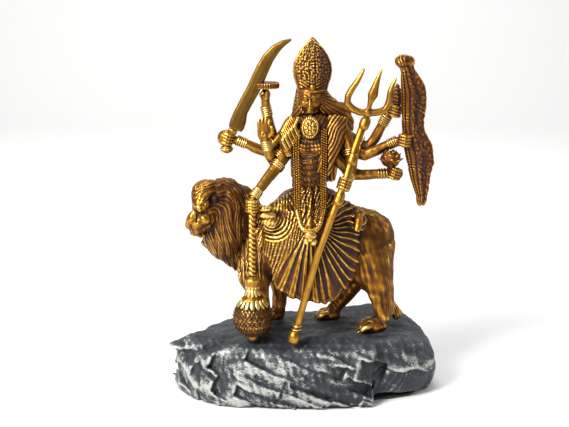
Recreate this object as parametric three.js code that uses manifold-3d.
// Statuette of an eight-armed goddess, seated on a walking lion, on a craggy rock.
// It is a glued assembly of cold-cast resin pieces: the rock, the lion, the seated figure with
// its eight arms, the things that the hands hold, and the steel dowels that pin the castings.
// Millimetres, +Z up, -Y to the front, +X to the figure's left hand. The origin is the middle of
// the underside.
import * as THREE from "three";
import { mergeVertices } from "three/addons/utils/BufferGeometryUtils.js";
import Module from "manifold-3d";

const wasm = await Module();
wasm.setup();

// ---- Sizes ----
const ROCK_WIDTH = 193;
const ROCK_DEPTH = 100;
const ROCK_TOP = 45; // height of the ground that the lion stands on
const FELT_THICKNESS = 1.5;
const FELT_STANDS_PROUD = 0.5;
const FELT_SHARE = 0.86; // of the rock's outline
const LION_BACK = 83; // from the ground to the seat
const LION_GIRTH = 20; // half the lion's width across the barrel
const LION_SET_BACK = 4; // the lion stands a little behind the middle of the rock
const SEAT_X = 5;
const TORSO_HEIGHT = 70; // from the seat to the top of the neck
const TORSO_WIDTH = 35; // across the shoulders
const HEAD_WIDTH = 16.6;
const CROWN_HEIGHT = 36.5;
const CROWN_WIDTH = 27;
const UPPER_ARM_RADIUS = 4.6;
const FOREARM_RADIUS = 3.5;
const WRIST_RADIUS = 2.9;
const TRIDENT_SHAFT_RADIUS = 2.5;
const TRIDENT_FOOT_RADIUS = 3.5;
const MACE_SHAFT_RADIUS = 2.7;
const MACE_BALL_RADIUS = 13;
const BLADE_THICKNESS = 3;
const CHAKRA_RADIUS = 9;
const CHAKRA_THICKNESS = 3.6;
const LOTUS_RADIUS = 8;
const DOWEL_RADIUS = 1.5;
const LEG_DOWEL_LENGTH = 16;
const SEAT_DOWEL_LENGTH = 34;
const NECK_DOWEL_LENGTH = 14;
const GLUE_GAP = 0.3; // between a casting and whatever it is glued to

// ---- Finishes ----
const finish = (color, roughness, metalness) =>
  new THREE.MeshStandardMaterial({ color, roughness, metalness });
const gold = finish(0xa8741c, 0.38, 0.8);
const darkGold = finish(0x7a5220, 0.45, 0.7);
const stone = finish(0x4c5257, 0.7, 0.1);
const felt = finish(0x1d2320, 0.95, 0);
const steel = finish(0xb9bcc0, 0.35, 1);

// ---- Solids ----
// A closed geometry as a manifold in the frame that the matrix carries it to.
function solidOf(geometry, matrix) {
  const bare = new THREE.BufferGeometry();
  bare.setAttribute("position", geometry.getAttribute("position").clone());
  bare.setIndex(geometry.index);
  const merged = mergeVertices(bare.applyMatrix4(matrix), 1e-4);
  const mesh = new wasm.Mesh({
    numProp: 3,
    vertProperties: merged.attributes.position.array,
    triVerts: new Uint32Array(merged.index.array),
  });
  return new wasm.Manifold(mesh);
}

const joined = (geometries, matrix) =>
  geometries.map((geometry) => solidOf(geometry, matrix)).reduce((all, next) => all.add(next));

function geometryOf(solid) {
  const { numProp, numVert, vertProperties, triVerts } = solid.getMesh();
  const positions = new Float32Array(numVert * 3);
  for (let i = 0; i < numVert; i++)
    positions.set(vertProperties.subarray(i * numProp, i * numProp + 3), i * 3);
  const geometry = new THREE.BufferGeometry();
  geometry.setAttribute("position", new THREE.BufferAttribute(positions, 3));
  geometry.setIndex(new THREE.BufferAttribute(triVerts, 1));
  return geometry;
}

function boxesMeet(a, b) {
  const boxA = a.boundingBox();
  const boxB = b.boundingBox();
  return [0, 1, 2].every((k) => boxA.min[k] < boxB.max[k] && boxB.min[k] < boxA.max[k]);
}

// Adds a named mesh to its group. form(grow) lists the closed geometries that the piece is joined
// from, each grown outwards by grow. A piece makes way for every piece made before it, by the
// glue gap, so the order below says which casting runs on and which one is cut to fit.
const reserved = [];
function piece(group, name, material, form, at = [0, 0, 0]) {
  const mesh = new THREE.Mesh(undefined, material);
  mesh.name = name;
  mesh.position.set(...at);
  group.add(mesh);
  mesh.updateWorldMatrix(true, false);
  let solid = joined(form(0), mesh.matrixWorld);
  for (const taken of reserved) if (boxesMeet(solid, taken)) solid = solid.subtract(taken);
  // A cut can leave slivers on the far side of a neighbour; the casting is the largest body.
  const bodies = solid.decompose().sort((a, b) => b.volume() - a.volume());
  mesh.geometry = geometryOf(bodies[0]).applyMatrix4(mesh.matrixWorld.clone().invert());
  mesh.geometry.computeVertexNormals();
  reserved.push(joined(form(GLUE_GAP), mesh.matrixWorld));
}

// A closed skin over rings that hold the same number of points, with a fan over each end.
function skin(rings) {
  const sides = rings[0].length;
  const middle = (ring) =>
    ring.reduce((sum, point) => sum.add(point), new THREE.Vector3()).divideScalar(sides);
  const points = [...rings.flat(), middle(rings[0]), middle(rings.at(-1))];
  const index = [];
  const last = (rings.length - 1) * sides;
  for (let k = 0; k < sides; k++) {
    const next = (k + 1) % sides;
    for (let start = 0; start < last; start += sides) {
      index.push(start + k, start + next, start + next + sides);
      index.push(start + k, start + next + sides, start + k + sides);
    }
    index.push(points.length - 2, next, k);
    index.push(points.length - 1, last + k, last + next);
  }
  let volume = 0;
  for (let i = 0; i < index.length; i += 3)
    volume += points[index[i]].dot(points[index[i + 1]].clone().cross(points[index[i + 2]]));
  const geometry = new THREE.BufferGeometry().setFromPoints(points);
  return geometry.setIndex(volume < 0 ? index.reverse() : index);
}

// A limb through stations [x, y, z, a, b]. The section has the half-size b towards the front and
// back and a across that. Without b the limb is round.
function limb(stations, grow, sides = 8) {
  const rings = Math.ceil((stations.length - 1) * 1.5);
  const path = new THREE.CatmullRomCurve3(stations.map(([x, y, z]) => new THREE.Vector3(x, y, z)));
  const sizes = new THREE.CatmullRomCurve3(
    stations.map(([, , , a, b = a]) => new THREE.Vector3(a, b, 0)),
  );
  const ringAt = (t, push) => {
    const along = path.getTangent(t);
    const centre = path.getPoint(t).addScaledVector(along, push);
    const size = sizes.getPoint(t);
    const depth = new THREE.Vector3(0, 1, 0).addScaledVector(along, -along.y).normalize();
    const across = new THREE.Vector3().crossVectors(along, depth);
    return Array.from({ length: sides }, (_, k) => {
      const angle = (k / sides) * 2 * Math.PI;
      return centre
        .clone()
        .addScaledVector(across, Math.cos(angle) * (size.x + grow))
        .addScaledVector(depth, Math.sin(angle) * (size.y + grow));
    });
  };
  return skin(
    Array.from({ length: rings + 1 }, (_, i) =>
      ringAt(i / rings, i === 0 ? -grow : i === rings ? grow : 0),
    ),
  );
}

// An ellipsoid at a place.
function ball([x, y, z], [a, b, c], grow, segments = 10) {
  return new THREE.SphereGeometry(1, segments, segments / 2 + 1)
    .rotateX(Math.PI / 2)
    .scale(a + grow, b + grow, c + grow)
    .translate(x, y, z);
}

// Turned about Z from [radius, height] pairs that start and end on the axis.
function turned(profile, grow, depth = 1, sides = 12) {
  const points = profile.map(([radius, height], i) => {
    const lift = i === 0 ? -grow : i === profile.length - 1 ? grow : 0;
    return new THREE.Vector2(radius === 0 ? 0 : radius + grow, height + lift);
  });
  return new THREE.LatheGeometry(points, sides).rotateX(Math.PI / 2).scale(1, depth, 1);
}

const disc = (radius, thickness, grow, sides = 20) =>
  new THREE.CylinderGeometry(radius + grow, radius + grow, thickness + 2 * grow, sides).rotateX(
    Math.PI / 2,
  );

// ---- Groups ----
const statue = new THREE.Group();
const lion = new THREE.Group();
lion.position.set(0, LION_SET_BACK, ROCK_TOP);
const goddess = new THREE.Group();
goddess.position.set(SEAT_X, -LION_SET_BACK, LION_BACK);
const bust = new THREE.Group();
bust.position.set(0, 0, TORSO_HEIGHT);
statue.add(lion);
lion.add(goddess);
goddess.add(bust);

// ---- Dowels ----
// Each is half in one casting and half in the next. Feet are [x, y] on the ground.
const FEET = {
  near_foreleg: [-27, -15.5],
  far_foreleg: [-17, 15],
  near_hindleg: [55, -12],
  far_hindleg: [23.5, 16.5],
};
const dowel = (group, name, length, at) =>
  piece(group, name, steel, (grow) => [disc(DOWEL_RADIUS, length, grow, 10)], at);
for (const [leg, [x, y]] of Object.entries(FEET))
  dowel(lion, leg + "_dowel", LEG_DOWEL_LENGTH, [x, y, -1]);
dowel(goddess, "seat_dowel", SEAT_DOWEL_LENGTH, [0, 1, 4]);
dowel(bust, "neck_dowel", NECK_DOWEL_LENGTH, [0.5, 0, 1]);

// ---- Rock and felt ----
// The outline from above, as shares of the half-sizes, from the left tip round the front.
const ROCK_OUTLINE = [
  [-1, 0.16], [-0.92, -0.36], [-0.64, -0.84], [-0.3, -0.96], [0, -1], [0.28, -0.98], [0.52, -0.9],
  [0.57, -0.66], [0.74, -0.6], [0.92, -0.42], [0.99, -0.1], [1, 0.14], [0.95, 0.5], [0.84, 0.8],
  [0.66, 0.94], [0.42, 1], [0.02, 0.99], [-0.4, 0.93], [-0.68, 0.8], [-0.86, 0.56],
];

// The ground is level in the middle, falls to the edges and has a hump at the back right.
function groundHeight(x, y) {
  const u = x / (ROCK_WIDTH / 2);
  const v = y / (ROCK_DEPTH / 2);
  const beyond = (value, from, slope) => slope * Math.max(0, value - from);
  const fall = beyond(-u, 0.35, 0.6) + beyond(u, 0.74, 1.1) + beyond(-v, 0.68, 1.1);
  const hump = 0.14 * Math.exp(-(((u - 0.5) / 0.2) ** 2) - ((v - 0.9) / 0.25) ** 2);
  const dip = 0.12 * Math.exp(-(((u - 0.3) / 0.12) ** 2) - ((v + 0.95) / 0.2) ** 2);
  return ROCK_TOP * (1 - fall - beyond(v, 0.7, 0.35) + hump - dip);
}

function rockOutline(share, grow) {
  const outline = ROCK_OUTLINE.map(([u, v]) => new THREE.Vector3(u, v, 0));
  const points = new THREE.CatmullRomCurve3(outline, true).getPoints(40).slice(1);
  const box = new THREE.Box3().setFromPoints(points);
  const centre = box.getCenter(new THREE.Vector3());
  const size = box.getSize(new THREE.Vector3());
  return points.map((point) => {
    const x = ((point.x - centre.x) / size.x) * (ROCK_WIDTH * share + 2 * grow);
    const y = ((point.y - centre.y) / size.y) * (ROCK_DEPTH * share + 2 * grow);
    return new THREE.Vector3(x, y, 0);
  });
}

piece(statue, "felt_pad", felt, (grow) => {
  const outline = rockOutline(FELT_SHARE, grow);
  const raised = (height) => outline.map((point) => point.clone().setZ(height));
  return [skin([raised(-grow), raised(FELT_THICKNESS + grow)])];
});
piece(statue, "rock_base", stone, (grow) => {
  // [share of the outline, share of the ground's height]
  const rings = [[0.95, 0], [1, 0.4], [0.985, 0.75], [0.93, 1], [0.8, 1], [0.55, 1], [0.28, 1]];
  return [
    skin(
      rings.map(([share, rise]) =>
        rockOutline(share, grow).map((point) => {
          const top = groundHeight(point.x, point.y) + grow;
          return point.setZ(rise === 0 ? FELT_STANDS_PROUD - grow : top * rise);
        }),
      ),
    ),
  ];
});

// ---- Lion ----
const HIP = LION_BACK - 27; // height of the barrel's middle
piece(lion, "lion_body", gold, (grow) => [
  limb(
    [
      [-48, 0, HIP + 5, 17, 0.65 * LION_GIRTH],
      [-36, 0, HIP + 3, 23, 0.9 * LION_GIRTH],
      [-12, 0, HIP, 26, LION_GIRTH],
      [12, 0, HIP, 27, LION_GIRTH],
      [36, 0, HIP + 3, 28.5, LION_GIRTH],
      [53, 0, HIP + 2, 24, 0.88 * LION_GIRTH],
      [62, 0, HIP, 13, 0.5 * LION_GIRTH],
    ],
    grow,
    14,
  ),
]);
piece(lion, "lion_head", gold, (grow) => [
  ball([-54, -6, LION_BACK - 4], [18.5, 20, 30], grow, 14),
  ball([-44, -2, LION_BACK - 6], [17, 16, 26], grow, 14),
  ball([-63, -14, LION_BACK + 7], [14, 13, 17], grow, 12),
  limb(
    [
      [-65, -20, LION_BACK + 3, 9, 9],
      [-72, -26, LION_BACK - 3, 8, 8],
      [-76, -29, LION_BACK - 5, 5.5],
    ],
    grow,
  ),
  ball([-72, -23, LION_BACK - 11], [6, 6, 5], grow),
  limb(
    [
      [-57, -4, LION_BACK - 12, 18, 17],
      [-47, -2, LION_BACK - 28, 13, 15],
      [-41, -1, LION_BACK - 40, 7, 9],
    ],
    grow,
  ),
]);

// A leg runs from high inside the body down to the foot; the paw points the way the lion walks.
const leg = (name, stations, paw) => {
  const [x, y] = FEET[name];
  piece(lion, name, gold, (grow) => [
    limb([...stations, [x, y, 7, 5], [x - 1, y, 1, 5]], grow),
    ball([x - paw[0] / 2, y - 1.5, paw[2] - 1.5], paw, grow),
  ]);
};
const NEAR_FORELEG = [[-34, -10, HIP - 6, 12, 9], [-31, -13, 28, 7.5, 7]];
const FAR_FORELEG = [[-22, 12, HIP - 6, 10, 8], [-16, 15, 22, 5.5]];
const NEAR_HINDLEG = [[46, -8, HIP, 20, 12], [52, -10, 40, 12, 9], [58, -11, 20, 6]];
const FAR_HINDLEG = [[46, 10, HIP - 6, 14, 9], [39, 14, 30, 8, 7], [31, 16.5, 16, 5.5]];
leg("near_foreleg", NEAR_FORELEG, [8, 7, 5]);
leg("far_foreleg", FAR_FORELEG, [6.5, 6, 4.5]);
leg("near_hindleg", NEAR_HINDLEG, [10, 8, 5.5]);
leg("far_hindleg", FAR_HINDLEG, [7, 6.5, 4.5]);
piece(lion, "lion_tail", gold, (grow) => [
  limb(
    [
      [59, 6, LION_BACK - 14, 3.4],
      [62.5, 11, LION_BACK - 30, 3],
      [60, 13, LION_BACK - 50, 2.8],
      [61, 12, 20, 2.8],
      [65, 9, 10, 3.4],
      [70, 6, 4, 4],
    ],
    grow,
  ),
]);

// ---- What the hands hold ----
// The trident leans across the skirt, with its foot on the rock.
const TRIDENT_GRIP = [22.5, -29, 26.5];
const TRIDENT_FORK = [37.7, -18, 71];
const STAFF_BEND = 0.38; // of the way from the grip down to the ground, where the staff leans in
piece(goddess, "trident_shaft", gold, (grow) => [
  limb(
    [
      [...TRIDENT_FORK.slice(0, 2), TRIDENT_FORK[2] - 1, TRIDENT_SHAFT_RADIUS],
      [31.7, -21, 56, TRIDENT_SHAFT_RADIUS],
      [...TRIDENT_GRIP, TRIDENT_SHAFT_RADIUS],
      [6.5, -35, TRIDENT_GRIP[2] - (LION_BACK + TRIDENT_GRIP[2]) * STAFF_BEND, TRIDENT_SHAFT_RADIUS],
      [-9, -36.5, 12 - LION_BACK, TRIDENT_SHAFT_RADIUS],
      [-12, -37, 1 - LION_BACK, TRIDENT_FOOT_RADIUS],
    ],
    grow,
  ),
]);
const LEFT_PRONG = [
  [0, 0, 2, 2.2],
  [-8, 0, 3.5, 2.5],
  [-13.6, 0, 9.5, 2.4],
  [-11, 0, 17, 2.2],
  [-6.2, 0, 24, 1.8],
  [-2.2, 0, 32, 0.8],
];
const MIDDLE_PRONG = [
  [1, 0, 4, 1.5],
  [2, 0, 9, 1.6],
  [3.6, 0, 14, 3.6, 2.2],
  [6, 0, 22, 2, 1.6],
  [9.5, 0, 32, 0.6],
];
const RIGHT_PRONG = [
  [0, 0, 2, 2.2],
  [7, 0, 2.5, 2.5],
  [12.5, 0, 4.5, 2.4],
  [14.8, 0, 11, 2.2],
  [15.6, 0, 18, 1.8],
  [19.3, 0, 25.5, 0.7],
];
const PRONGS = [LEFT_PRONG, MIDDLE_PRONG, RIGHT_PRONG];
piece(
  goddess,
  "trident_head",
  gold,
  (grow) => [
    ball([0.4, 0, 2], [3, 2.6, 3.4], grow),
    ...PRONGS.map((prong) => limb(prong, grow, 6)),
  ],
  TRIDENT_FORK,
);

const MACE_HAND = [-39.5, -30, 12];
const MACE_DROP = LION_BACK + MACE_HAND[2]; // from the hand to the ground
const MACE_BALL_HEIGHT = MACE_BALL_RADIUS + 4; // over the ground
const MACE_NECK_HEIGHT = MACE_BALL_HEIGHT + MACE_BALL_RADIUS + 4;
const MACE_PETALS = 12; // height of the petals between the ball and the shaft
piece(
  goddess,
  "mace_head",
  gold,
  (grow) => [
    ball([0, 0, MACE_BALL_HEIGHT], Array(3).fill(MACE_BALL_RADIUS), grow, 14),
    turned([[0, 0.4], [3, 0.4], [4, 3], [3, MACE_BALL_HEIGHT], [0, MACE_BALL_HEIGHT]], grow),
    turned(
      [
        [0, MACE_BALL_HEIGHT],
        [8, MACE_BALL_HEIGHT],
        [8, MACE_NECK_HEIGHT - 4],
        [4.2, MACE_NECK_HEIGHT],
        [5.5, MACE_NECK_HEIGHT + MACE_PETALS - 2],
        [3.5, MACE_NECK_HEIGHT + MACE_PETALS],
        [0, MACE_NECK_HEIGHT + MACE_PETALS],
      ],
      grow,
    ),
  ],
  [MACE_HAND[0], MACE_HAND[1] - 1.5, -LION_BACK],
);
piece(
  goddess,
  "mace_shaft",
  gold,
  (grow) => {
    const bottom = MACE_NECK_HEIGHT + MACE_PETALS - 3;
    const top = MACE_DROP - 2;
    const profile = [[0, bottom], [MACE_SHAFT_RADIUS, bottom], [MACE_SHAFT_RADIUS, top], [0, top]];
    return [turned(profile, grow, 1, 8)];
  },
  [MACE_HAND[0], MACE_HAND[1] - 0.8, -LION_BACK],
);

const SWORD_HAND = [-58, -1, 53];
piece(
  goddess,
  "sword_blade",
  gold,
  (grow) => [
    limb(
      [
        [6.5, 0, 6, 4.8],
        [8, 0, 10, 5.8],
        [11, 0, 19.5, 4.6],
        [18, 0, 31.7, 4.7],
        [23.6, 0, 43.8, 4.8],
        [29, 0, 54.7, 4.2],
        [36.5, 0, 63.2, 3],
        [45, 0, 67.6, 0.7],
      ].map(([x, y, z, a]) => [x, y, z, a, Math.min(a, BLADE_THICKNESS / 2)]),
      grow,
      8,
    ),
  ],
  SWORD_HAND,
);
piece(
  goddess,
  "sword_hilt",
  gold,
  (grow) => [
    limb([[1, 0, -7, 2.2], [3, 0, 0, 2.2], [5, 0, 6, 3.4, 2.4]], grow),
    ball([0.5, 0, -7.5], [4.6, 3.4, 3], grow),
  ],
  SWORD_HAND,
);

const CHAKRA_HAND = [-30.8, 4, 82];
piece(
  goddess,
  "chakra",
  darkGold,
  (grow) => [disc(CHAKRA_RADIUS, CHAKRA_THICKNESS, grow)],
  [CHAKRA_HAND[0] + 0.6, CHAKRA_HAND[1], CHAKRA_HAND[2] + 7],
);

const CONCH_HAND = [56.3, 0, 72.5];
piece(
  goddess,
  "conch",
  darkGold,
  (grow) => [
    turned([[0, 0], [1.8, 0], [3.6, 5], [3.6, 9], [2.4, 14], [1, 17.5], [0, 17.5]], grow, 1, 8),
  ],
  [CONCH_HAND[0] + 3, CONCH_HAND[1], CONCH_HAND[2] + 0.5],
);

const BOW_HAND = [64.5, -8, 53];
piece(
  goddess,
  "bow",
  darkGold,
  (grow) => [
    limb(
      [
        [-1, 0, 56.5, 6.6, 3.2],
        [0.5, 0, 49, 4.8, 3],
        [3.1, 0, 41, 7.2, 3],
        [5.8, 0, 32, 9.3, 3.2],
        [5.8, 0, 21, 9, 3.2],
        [5.5, 0, 9, 7.8, 3.6],
        [7.5, 0, 0, 9.2, 3.6],
        [11.1, 0, -11.5, 10.6, 3.2],
        [11.5, 0, -27, 7.3, 3],
        [12.9, 0, -38, 4.8, 3],
        [12.5, 0, -45.5, 2, 2],
      ],
      grow,
    ),
  ],
  [BOW_HAND[0], BOW_HAND[1] + 2, BOW_HAND[2]],
);

const LOTUS_HAND = [59, -8, 29.5];
piece(
  goddess,
  "lotus",
  darkGold,
  (grow) => [
    turned(
      [[0, 0], [2.5, 0], [0.8 * LOTUS_RADIUS, 4], [LOTUS_RADIUS, 8], [0.7 * LOTUS_RADIUS, 13], [0, 14]],
      grow,
    ),
  ],
  [LOTUS_HAND[0] - 4, LOTUS_HAND[1] - 1, LOTUS_HAND[2] + 3],
);

// ---- Ornaments ----
const SHOULDER = TORSO_WIDTH / 2;
piece(bust, "pendant", gold, (grow) => [ball([-0.4, -11.5, -8], [6.5, 3, 8], grow)]);
piece(goddess, "garland", gold, (grow) => [
  limb(
    [
      [-10, -10, TORSO_HEIGHT - 10, 1.9],
      [-10.5, -12.5, 44, 1.9],
      [-10, -15, 26, 1.9],
      [-9.5, -27, 8, 1.9],
      [-6, -35, -3, 2],
      [-0.5, -36.5, -5, 2.4],
      [5, -35, -3, 2],
      [9, -27, 8, 1.9],
      [9.5, -15, 26, 1.9],
      [10, -12.5, 44, 1.9],
      [10, -10, TORSO_HEIGHT - 10, 1.9],
    ],
    grow,
    6,
  ),
  ball([-0.5, -36, -8], [4, 2.8, 5], grow),
]);
piece(goddess, "left_foot", gold, (grow) => [
  limb([[33, -23, 3, 3], [32.5, -28, -1, 2.7], [31, -30.5, -6, 2]], grow),
]);
piece(bust, "shoulder_sash", gold, (grow) => [
  limb(
    [
      [19, -5, -1, 7, 3],
      [17, -9, -12, 7.5, 3],
      [13, -11, -26, 6.5, 3],
      [8, -11.5, -40, 5, 2.6],
    ],
    grow,
  ),
]);
piece(bust, "shoulder_curls", gold, (grow) => [
  limb(
    [
      [-11, -5, -3, 4.5, 3.4],
      [-16, -7.5, -10, 5, 3.6],
      [-17, -9, -19, 4.4, 3.2],
      [-14, -10, -28, 3, 2.6],
    ],
    grow,
  ),
]);

// ---- Figure ----
const RIGHT_KNEE = [-28, -23, 0];
const LEFT_KNEE = [31, -19, -1];
piece(goddess, "skirt", gold, (grow) => [
  ball([0, 1, 6], [25, 16, 14], grow, 12),
  limb([[-5, -4, 6, 12], [-18, -15, 5, 11], [...RIGHT_KNEE, 8.5]], grow),
  limb([[6, -4, 6, 12], [20, -13, 4, 11], [...LEFT_KNEE, 8.5]], grow),
  ball(RIGHT_KNEE, [9, 8.5, 9.5], grow),
  ball(LEFT_KNEE, [8, 8.5, 9.5], grow),
  limb(
    [
      [0, -16, 4, 34, 11],
      [0, -22, -12, 34, 9.5],
      [0, -24.5, -28, 33.5, 8.5],
      [-4, -26, -40, 29, 7],
      [-10, -27, -49, 20, 5.5],
      [-12, -27, -54, 10, 3],
    ],
    grow,
    16,
  ),
]);
piece(goddess, "torso", gold, (grow) => [
  limb(
    [
      [0, 1, 12, 13.5, 10.5],
      [-0.5, 0, 24, 12, 9.5],
      [0, -0.5, 40, 14, 10.5],
      [1, 0, TORSO_HEIGHT - 14, SHOULDER, 10],
      [1.5, 1, TORSO_HEIGHT - 5, 0.85 * SHOULDER, 8],
      [1, 0.5, TORSO_HEIGHT, 6, 6],
    ],
    grow,
    12,
  ),
]);
piece(bust, "head", gold, (grow) => [
  ball([-0.5, -1, 11], [HEAD_WIDTH / 2, HEAD_WIDTH / 2, 10], grow, 12),
  limb([[1, 0, 0.6, 5.4], [0.5, 0, 4, 5], [0, 0, 8, 5]], grow),
]);
piece(
  bust,
  "crown",
  gold,
  (grow) => {
    const r = CROWN_WIDTH / 2;
    const h = CROWN_HEIGHT;
    return [
      turned(
        [
          [0, 0],
          [0.76 * r, 0],
          [0.8 * r, 0.1 * h],
          [0.94 * r, 0.25 * h],
          [r, 0.38 * h],
          [0.95 * r, 0.52 * h],
          [0.76 * r, 0.68 * h],
          [0.46 * r, 0.83 * h],
          [0.18 * r, 0.94 * h],
          [0, h],
        ],
        grow,
        0.8,
        16,
      ),
    ];
  },
  [1.3, 1.5, 15.5],
);

// ---- Arms ----
// Each runs from inside the shoulder through the elbow to the wrist and ends in a hand.
function arm(name, [shoulder, upper, elbow, forearm, wrist], hand, palm) {
  piece(goddess, name, gold, (grow) => [
    limb(
      [
        [...shoulder, UPPER_ARM_RADIUS],
        [...upper, UPPER_ARM_RADIUS],
        [...elbow, (UPPER_ARM_RADIUS + FOREARM_RADIUS) / 2],
        [...forearm, FOREARM_RADIUS],
        [...wrist, WRIST_RADIUS],
      ],
      grow,
    ),
    limb([[...wrist, WRIST_RADIUS], [...hand, WRIST_RADIUS]], grow),
    ball(hand, palm, grow),
  ]);
}
const across = SHOULDER - 4;
arm(
  "sword_arm",
  [[-across, 4, 60], [-21, 4, 51], [-30.5, 2, 43], [-39.5, 1, 46.8], [-49, 0, 51]],
  SWORD_HAND,
  [6, 5, 6],
);
arm(
  "chakra_arm",
  [[-across, 8, 59], [-18, 8, 52], [-24.3, 7, 50], [-28, 5, 62], [-30.4, 4, 73]],
  CHAKRA_HAND,
  [3.6, 3.2, 4.6],
);
arm(
  "blessing_arm",
  [[-across, -1, 55], [-18, -5, 44], [-25, -8, 36.5], [-28.5, -10.5, 45], [-30.3, -12, 52]],
  [-31.4, -12, 60.5],
  [5, 2.8, 9],
);
arm(
  "mace_arm",
  [[-across, -3, 48], [-20, -9, 39], [-26.5, -14, 31], [-33, -22, 24], [-38, -28, 18]],
  MACE_HAND,
  [4.8, 4.4, 5.5],
);
arm(
  "conch_arm",
  [[across, 7, 60], [28, 6, 52], [40, 4, 45.7], [46.5, 2, 56], [52, 0, 67]],
  CONCH_HAND,
  [4, 3.6, 4.6],
);
arm(
  "bow_arm",
  [[across, 1, 55], [27, -1, 45], [38, -2, 41.5], [48, -4, 46.5], [58, -6, 51.4]],
  BOW_HAND,
  [4.8, 4.6, 5.4],
);
arm(
  "lotus_arm",
  [[across, -3, 46], [24, -4, 34], [32, -4, 28], [42, -5, 28.6], [52, -7, 29.5]],
  LOTUS_HAND,
  [4.8, 4.2, 4.4],
);
arm(
  "trident_arm",
  [[SHOULDER + 3, -1, 62], [26, -5, 51], [28.5, -9, 38], [27, -18, 31], [24.5, -24, 28]],
  TRIDENT_GRIP,
  [5, 4.6, 5.6],
);

piece(bust, "veil", gold, (grow) => [
  limb(
    [
      [1, 6, 22, 9, 6],
      [1, 6, 12, 12, 7],
      [3, 6, 3, 17, 8],
      [6, 7, -5, 25, 8],
      [6, 9, -15, 24, 8],
      [4, 10, -30, 19, 7],
      [2, 10, -48, 16, 6],
    ],
    grow,
    12,
  ),
]);

export default statue;
